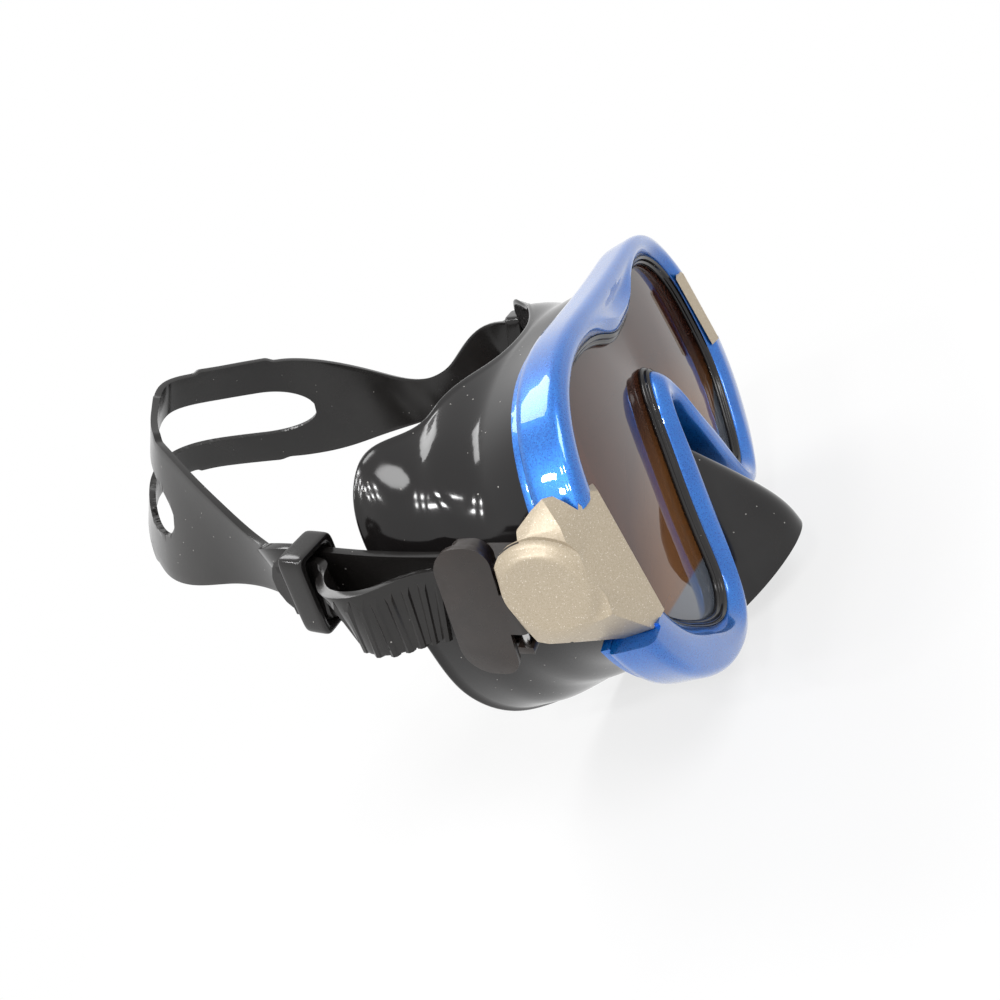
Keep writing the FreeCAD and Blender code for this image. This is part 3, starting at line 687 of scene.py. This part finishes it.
def tail_line(step):
    """Left end of the strap, from the inner straight round the roller to the free end."""
    x_in = BUCKLE_INNER + STRAP_THICKNESS / 2
    x_out = 2 * ROLLER_X - x_in
    radius = (x_out - x_in) / 2
    u_in = (STRAP_SIDE[0][1] - PIVOT[0]) / math.cos(TILT)
    u_out = (TAIL_SIDE[0][1] - PIVOT[0]) / math.cos(TILT)
    points = [buckle_point(x_in, u) for u in np.arange(u_in, ROLLER_U, -step)][1:]
    for a in np.linspace(0, math.pi, 13):
        points.append(buckle_point(ROLLER_X - radius * math.cos(a), ROLLER_U - radius * math.sin(a)))
    points += [buckle_point(x_out, u) for u in np.arange(ROLLER_U + step, u_out, step)]
    lead = [tuple(buckle_point(x_out, u_out - 2.5)), tuple(buckle_point(x_out, u_out - 1.2))]
    at, t = spline(lead + [tuple(buckle_point(x_out, u_out))] + TAIL_SIDE[1:])
    stops = np.arange(t[2], t[-1], step)
    return np.vstack([points, at(np.append(stops, t[-1]))]), len(points)


def ribbon(name, points, ups, widths, half, across=16):
    """Closed band whose faces lie half a thickness to each side of the line."""
    along = np.gradient(points, axis=0)
    along /= np.linalg.norm(along, axis=1)[:, None]
    outs = np.cross(along, ups)
    outs /= np.linalg.norm(outs, axis=1)[:, None]
    loops = []
    for p, up, out, w in zip(points, ups, outs, widths):
        v = np.linspace(-0.5, 0.5, across) * w
        near = [p + up * a + out * half for a in v]
        far = [p + up * a - out * half for a in v[::-1]]
        loops.append(near + far)
    loops = np.array(loops)
    count, columns = loops.shape[:2]
    faces = grid_faces(count, columns, False, True)
    for base in (0, (count - 1) * columns):
        for k in range(across - 1):
            faces.append((base + k, base + k + 1, base + columns - 2 - k, base + columns - 1 - k))
    return mesh_from(name, loops.reshape(-1, 3), faces)


def rear_share(s):
    return smooth((np.minimum(s, 1 - s) - 0.2) / 0.17)


def make_strap():
    s, line = main_line(300)
    near, ends = tail_line(1.1)
    tabs = smooth((s - 0.530) / 0.006) - smooth((s - 0.612) / 0.012)
    tabs = tabs + tabs[::-1]
    widths = STRAP_WIDTH + (REAR_WIDTH - STRAP_WIDTH) * rear_share(s) + TAB_WIDTH * tabs
    ups = np.array([upright(a / np.linalg.norm(a), lean_at(b)) for a, b in zip(np.gradient(line, axis=0), s)])
    tail_up = []
    flow = np.gradient(near, axis=0)
    v_up = np.array([0, -math.sin(TILT), math.cos(TILT)])
    for i, a in enumerate(flow):
        tail_up.append(v_up if i < ends else upright(a / np.linalg.norm(a)))
    tail_up = np.array(tail_up)
    run = np.concatenate([[0], np.cumsum(np.linalg.norm(np.diff(near, axis=0), axis=1))])
    to_tip = TAIL_ROUNDING - np.minimum(run[-1] - run, TAIL_ROUNDING)
    tail_width = STRAP_WIDTH * np.sqrt(np.clip(1 - (to_tip / (TAIL_ROUNDING + 0.1)) ** 2, 0.02, 1))
    flip = np.array([-1, 1, 1])
    points = np.vstack([(near * flip)[::-1], line, near])
    all_ups = np.vstack([(tail_up * flip)[::-1], ups, tail_up])
    all_widths = np.concatenate([tail_width[::-1], widths, tail_width])
    piece = ribbon("head_band", points, all_ups, all_widths, STRAP_THICKNESS / 2)
    share = np.clip((np.minimum(s, 1 - s) - 0.34) / 0.06, 0, 1)
    keep = (s > 0.3385) & (s < 1 - 0.3385)
    gap = SPLIT_WIDTH * np.sqrt(share * (2 - share)) + 0.5
    cut(piece, ribbon("split_room", line[keep], ups[keep], gap[keep], 2 * STRAP_THICKNESS))
    rounded(piece, 0.5, 3, 40)
    finish_piece(piece, STRAP_BLACK, "strap_silicone", "strap", "head_strap")
    ribs("strap_ribs_left", near[ends + 1:], 1)
    ribs("strap_ribs_right", near[ends + 1:], -1)


def rib_shape(side):
    """One transverse rib with a slanted tip at its upper end."""
    half, top, bottom = 1.15, 6.3, -7.9
    root, crest, slant = 0.7, 1.35, 3.5
    section = [(-half, root), (-half * 0.35, crest), (half * 0.35, crest), (half, root)]
    ends = [[(x, y * side, bottom) for x, y in section],
            [(x, y * side, top - (y - root) * slant) for x, y in section]]
    vertices = ends[0] + ends[1]
    faces = [(0, 1, 5, 4), (1, 2, 6, 5), (2, 3, 7, 6), (3, 0, 4, 7), (0, 3, 2, 1), (4, 5, 6, 7)]
    return mesh_from("rib", vertices, faces)


def ribs(name, points, side):
    """Ribs set along the outer face of a tail by Geometry Nodes."""
    rib = rib_shape(-side)
    rib.data.shade_flat()
    data = bpy.data.curves.new(name, "CURVE")
    data.dimensions = "3D"
    path = data.splines.new("POLY")
    path.points.add(len(points) - 1)
    for spot, p in zip(path.points, points):
        spot.co = (p[0] * MM * side, p[1] * MM, p[2] * MM, 1)
    piece = bpy.data.objects.new(name, data)
    bpy.context.collection.objects.link(piece)
    tree = bpy.data.node_groups.new("Ribs along a line", "GeometryNodeTree")
    sockets = {}
    for label, kind in (("Geometry", "NodeSocketGeometry"), ("Rib count", "NodeSocketInt"),
                        ("Start", "NodeSocketFloat"), ("End", "NodeSocketFloat")):
        sockets[label] = tree.interface.new_socket(label, in_out="INPUT", socket_type=kind)
    tree.interface.new_socket("Geometry", in_out="OUTPUT", socket_type="NodeSocketGeometry")
    start = tree.nodes.new("NodeGroupInput")
    trim = tree.nodes.new("GeometryNodeTrimCurve")
    space = tree.nodes.new("GeometryNodeResampleCurve")
    place = tree.nodes.new("GeometryNodeInstanceOnPoints")
    shape = tree.nodes.new("GeometryNodeObjectInfo")
    tangent = tree.nodes.new("GeometryNodeInputTangent")
    turn = tree.nodes.new("FunctionNodeAlignRotationToVector")
    stand = tree.nodes.new("FunctionNodeAlignRotationToVector")
    real = tree.nodes.new("GeometryNodeRealizeInstances")
    paint = tree.nodes.new("GeometryNodeSetMaterial")
    end = tree.nodes.new("NodeGroupOutput")
    turn.axis, stand.axis, stand.pivot_axis = "X", "Z", "X"
    stand.inputs["Vector"].default_value = (0, 0, 1)
    shape.inputs["Object"].default_value = rib
    paint.inputs["Material"].default_value = STRAP_BLACK
    link = tree.links.new
    link(start.outputs["Geometry"], trim.inputs["Curve"])
    link(start.outputs["Start"], trim.inputs["Start"])
    link(start.outputs["End"], trim.inputs["End"])
    link(trim.outputs["Curve"], space.inputs["Curve"])
    link(start.outputs["Rib count"], space.inputs["Count"])
    link(space.outputs["Curve"], place.inputs["Points"])
    link(shape.outputs["Geometry"], place.inputs["Instance"])
    link(tangent.outputs[0], turn.inputs["Vector"])
    link(turn.outputs["Rotation"], stand.inputs["Rotation"])
    link(stand.outputs["Rotation"], place.inputs["Rotation"])
    link(place.outputs["Instances"], real.inputs["Geometry"])
    link(real.outputs["Geometry"], paint.inputs["Geometry"])
    link(paint.outputs["Geometry"], end.inputs["Geometry"])
    nodes = piece.modifiers.new("Ribs", "NODES")
    nodes.node_group = tree
    for label, value in (("Rib count", 15), ("Start", 0.03), ("End", 0.93)):
        nodes[sockets[label].identifier] = value
    bpy.context.view_layer.update()
    mesh = bpy.data.meshes.new_from_object(piece.evaluated_get(bpy.context.evaluated_depsgraph_get()))
    bpy.data.objects.remove(piece)
    bpy.data.objects.remove(rib)
    made = bpy.data.objects.new(name, mesh)
    bpy.context.collection.objects.link(made)
    finish_piece(made, STRAP_BLACK, "strap_silicone", "strap")


def make_keepers():
    inner, later = np.array(STRAP_SIDE[2]), np.array(STRAP_SIDE[3])
    along = (later - inner) / np.linalg.norm(later - inner)
    up = upright(along)
    out = np.cross(up, along)
    out = out * np.sign(out[0])
    gap, slack, ribbed_tail = 1.2, 1.4, 2.8
    wall, length = 1.7, 6.0
    depth = STRAP_THICKNESS + ribbed_tail + 2 * gap + slack
    centre = inner + out * ((depth - STRAP_THICKNESS) / 2 - gap)
    half_up, half_out = STRAP_WIDTH / 2 + gap, depth / 2

    def squared(turn, power):
        """A point of a circle pushed out towards a square with rounded corners."""
        c, s = math.cos(turn), math.sin(turn)
        return np.sign(c) * abs(c) ** power, np.sign(s) * abs(s) ** power

    path = [squared(a, 0.22) for a in np.linspace(0, 2 * math.pi, 96, endpoint=False)]
    loops = []
    for turn in np.linspace(0, 2 * math.pi, 28, endpoint=False):
        c, s = squared(turn, 0.4)
        t = wall / 2 * (1 + c)
        middle = centre + along * (length / 2 * s)
        loops.append([middle + out * (px * (half_out + t)) + up * (py * (half_up + t)) for px, py in path])
    left = ring("strap_keeper_left", loops)
    right = mirrored(left, "strap_keeper_right")
    finish_piece(left, STRAP_BLACK, "strap_silicone", "left_keeper", "left_strap_keeper")
    finish_piece(right, STRAP_BLACK, "strap_silicone", "right_keeper", "right_strap_keeper")


# Side covers

# Outlines (y, z) of the hollow inside a cover, at its foot and behind its outer face
COVER_SHOULDER = [(-0.4, 18), (1.2, 20.6), (4, 21.8), (11, 20), (17.6, 17.6), (21.8, 11.5), (22.6, 4),
                  (19.8, -3.2), (12.5, -6.4), (6.5, -8.6), (0.6, -8.8), (-0.4, -7.6)]
COVER_FACE = [(3.6, 12.4), (5.4, 15.4), (8.4, 17.3), (11.6, 17.6), (14.4, 16.6), (17.2, 13.9),
              (19, 10.4), (19.6, 5.6), (18.7, 2), (16.6, -1), (13.4, -2.7), (9.6, -3.4), (6.4, -3),
              (4.4, -1.2), (3.6, 1.4)]
# Corners of the left cover's facets
COVER_CORNERS = [(65.3, 0.2, 18), (69.1, -1.8, 18), (68.2, 0.2, -8.2), (72, -1.8, -8.2),
                 (73, 1.2, 21.4), (77, 4.1, 23.9), (78, 6.5, 23.1), (81.2, 7, 20.6),
                 (80.6, 2, 19.4), (81.5, 12.9, 19.8), (81.5, 15.3, 18.9), (81.5, 17.6, 16.9),
                 (81.5, 19.2, 12.6), (81.5, 19.9, 7.4), (81.5, 20, 2.3), (81.5, 19.4, -1),
                 (81.5, 17.4, -2.1), (81.5, 13.9, -2.9), (75.6, 0.3, -9), (76, 6.5, -9.2),
                 (78, 10.5, -6.5), (83.3, 2, 13.5), (83.3, 2, 2.5), (75.3, 20, 12), (75.3, 20, 0)]
COVER_FACE_X = 83.3
COVER_INNER_X = 81.3
COVER_WALL = 2.2
PAD_CENTRE, PAD_RADIUS = (10.7, 9.3), 8.2    # y, z of the round pad's middle
TROUGH_ANGLE = math.radians(130)             # where the trough round the pad is deepest


def cover_room():
    """Hollow inside a cover."""
    def shrink(points):
        centre = np.mean(points, axis=0)
        away = np.array(points) - centre
        size = np.linalg.norm(away, axis=1)[:, None]
        return centre + away * (size - COVER_WALL) / size

    points = [(x, y, z) for x in (70, 76) for y, z in shrink(COVER_SHOULDER)]
    return hull("cover_room", points + [(COVER_INNER_X, y, z) for y, z in shrink(COVER_FACE)])


def pad_point(x, radius, turn):
    return x, PAD_CENTRE[0] + radius * math.cos(turn), PAD_CENTRE[1] + radius * math.sin(turn)


def cover_facets():
    """The cover before its pad is shaped: planes from the lens-side ridge to the outer face."""
    turns = 40
    edge = [pad_point(COVER_FACE_X, PAD_RADIUS, 2 * math.pi * k / turns) for k in range(turns)]
    return hull("side_cover_left", COVER_CORNERS + edge)


def make_covers():
    left = cover_facets()
    cut(left, pad_cutter())
    rounded(left, 0.55, 4, 13)
    apply_modifiers(left)
    cut(left, cover_room())
    for name, x, y, z in (("swing_room", (60, COVER_INNER_X), (13.0, 60), (-40, 40)),
                          ("hub_room", (60, COVER_INNER_X), (9.0, 14), (-1.6, 17.6)),
                          ("lever_room", (60, COVER_INNER_X), (10.2, 14), (-1.6, 40)),
                          ("frame_room", (50, 75.35), (0.25, 60), (-40, 40))):
        cut(left, block(name, x, y, z))
    left.data.shade_smooth()
    left.data.set_sharp_from_angle(angle=math.radians(30))
    right = mirrored(left, "side_cover_right")
    finish_piece(left, SILVER, "silver_cap", "mask", "left_clip_cover")
    finish_piece(right, SILVER, "silver_cap", "mask", "right_clip_cover")


def pad_cutter():
    """Everything outside the round, slightly dished pad and the trough that bounds it above and in front."""
    trough_start = 7.8
    profile = [(0, -0.3), (4, -0.24), (6.6, -0.08), (7.7, 0), (8.1, -0.12), (8.6, -0.5), (9.3, -1.3),
               (9.9, -1.85), (10.5, -2.05), (11.3, -1.8), (12.4, -1.0), (14.5, 1.4), (14.5, 9), (0, 9)]
    turns = 120
    vertices = []
    for r, h in profile:
        for k in range(turns):
            a = 2 * math.pi * k / turns
            share = float(smooth(0.62 + 0.75 * math.cos(a - TROUGH_ANGLE)))
            depth = h if r < trough_start or h > 0 else h * share
            vertices.append(pad_point(COVER_FACE_X + depth, r, a))
    return mesh_from("pad_room", vertices, grid_faces(len(profile), turns, False, True))


# CAD pieces that show as they are

def dress_cad():
    looks = {"lens": (GLASS, "lens_glass", 0.3), "lens_retainer": (BLUE, "blue_frame", 0.25)}
    for side in ("left_", "right_"):
        looks[side + "buckle_body"] = (PLASTIC, "buckle_plastic", 0.35)
        looks[side + "release_lever"] = (PLASTIC, "buckle_plastic", 0.35)
        looks[side + "strap_roller"] = (PLASTIC, "buckle_plastic", 0.15)
        looks[side + "pivot_pin"] = (STEEL, "pin_steel", 0.12)
        looks[side + "lever_pin"] = (STEEL, "pin_steel", 0.1)
        looks[side + "lever_spring"] = (STEEL, "pin_steel", 0.0)
    for name, (material, slot, width) in looks.items():
        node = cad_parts[name]
        node.data.materials.clear()
        node.data.materials.append(material)
        node.data.shade_smooth()
        weld = node.modifiers.new("Merged", "WELD")
        weld.merge_threshold = 1e-6
        if width:
            rounded(node, width, 3, 30)


# Stage

def small_lamp(name, place, target, size, power):
    data = bpy.data.lights.new(name, "AREA")
    data.shape = "RECTANGLE"
    data.size, data.size_y = size
    data.energy = power
    lamp = bpy.data.objects.new(name, data)
    bpy.context.collection.objects.link(lamp)
    lamp.location = place
    lamp.rotation_euler = (Vector(target) - Vector(place)).to_track_quat("-Z", "Y").to_euler()


def make_floor(lowest):
    """Pale floor that darkens under the mask and shows white further off, also in reflections."""
    floor = mesh_from("floor", [(-2, -2, lowest), (2, -2, lowest), (2, 2, lowest), (-2, 2, lowest)],
                      [(0, 1, 2, 3)], 1.0)
    paper = bpy.data.materials.new("Pale floor")
    paper.use_nodes = True
    tree = paper.node_tree
    matt = tree.nodes["Principled BSDF"]
    matt.inputs["Base Color"].default_value = (0.86, 0.86, 0.86, 1)
    matt.inputs["Roughness"].default_value = 0.9
    glow = tree.nodes.new("ShaderNodeEmission")
    glow.inputs["Strength"].default_value = 1.0
    rays = tree.nodes.new("ShaderNodeLightPath")
    mix = tree.nodes.new("ShaderNodeMixShader")
    place = tree.nodes.new("ShaderNodeTexCoord")
    away = tree.nodes.new("ShaderNodeVectorMath")
    away.operation = "LENGTH"
    tree.links.new(place.outputs["Object"], away.inputs[0])
    fade = tree.nodes.new("ShaderNodeMapRange")
    fade.interpolation_type = "SMOOTHSTEP"
    for key, number in (("From Min", 0.05), ("From Max", 0.3), ("To Min", 0.72), ("To Max", 1.0)):
        fade.inputs[key].default_value = number
    tree.links.new(away.outputs["Value"], fade.inputs["Value"])
    seen = tree.nodes.new("ShaderNodeMath")
    seen.operation = "MULTIPLY"
    tree.links.new(fade.outputs[0], seen.inputs[1])
    shown = rays.outputs["Is Camera Ray"]
    for output in ("Is Glossy Ray", "Is Transmission Ray"):
        either = tree.nodes.new("ShaderNodeMath")
        either.operation = "MAXIMUM"
        tree.links.new(shown, either.inputs[0])
        tree.links.new(rays.outputs[output], either.inputs[1])
        shown = either.outputs[0]
    tree.links.new(shown, seen.inputs[0])
    tree.links.new(seen.outputs[0], mix.inputs["Fac"])
    tree.links.new(matt.outputs[0], mix.inputs[1])
    tree.links.new(glow.outputs[0], mix.inputs[2])
    tree.links.new(mix.outputs[0], tree.nodes["Material Output"].inputs["Surface"])
    floor.data.materials.append(paper)


def make_world():
    """A soft room light on the mask; white to the camera, in reflections and through glass."""
    world = bpy.data.worlds.new("Soft room")
    bpy.context.scene.world = world
    world.use_nodes = True
    tree = world.node_tree
    back = tree.nodes["Background"]
    rays = tree.nodes.new("ShaderNodeLightPath")
    back.inputs["Color"].default_value = (1, 1, 1, 1)
    room_light, white = 0.36, 1.0
    level = None
    for output in ("Is Glossy Ray", "Is Transmission Ray", "Is Camera Ray"):
        step = tree.nodes.new("ShaderNodeMix")
        tree.links.new(rays.outputs[output], step.inputs["Factor"])
        step.inputs["A"].default_value = room_light
        if level is not None:
            tree.links.new(level, step.inputs["A"])
        step.inputs["B"].default_value = white
        level = step.outputs["Result"]
    tree.links.new(level, back.inputs["Strength"])


def make_lamps():
    middle = (0.0, 0.03, 0.0)
    small_lamp("Key", (-0.35, -0.55, 0.95), middle, (0.5, 0.35), 5.5)
    small_lamp("Top", (0.25, 0.45, 1.0), middle, (0.55, 0.35), 4.5)
    places = [(x, y) for x in (-0.75, -1.0) for y in (-0.1, 0.22, 0.54)]
    for k, (x, y) in enumerate(places):
        small_lamp("Ceiling lamp %d" % (k + 1), (x, y, 0.85), middle, (0.1, 0.06), 1.3)


CAMERA_PLACE = (-0.1739, -0.0542, 0.0652)    # metres
CAMERA_TURN = (68.2, 32.57, -68.11)             # degrees about X, Y and Z in that order


def make_camera():
    data = bpy.data.cameras.new("Camera")
    data.sensor_width = 36
    data.lens = 25.4
    data.clip_start = 0.01
    camera = bpy.data.objects.new("Camera", data)
    bpy.context.collection.objects.link(camera)
    camera.location = CAMERA_PLACE
    camera.rotation_euler = [math.radians(angle) for angle in CAMERA_TURN]
    bpy.context.scene.camera = camera


make_bezel()
make_skirt()
make_nose()
make_strap()
make_keepers()
make_covers()
dress_cad()
make_camera()
low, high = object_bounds()
make_floor(min(low.z, cad_box[0].z) - 0.3 * MM)
make_world()
make_lamps()
bpy.context.scene.view_settings.view_transform = "Standard"
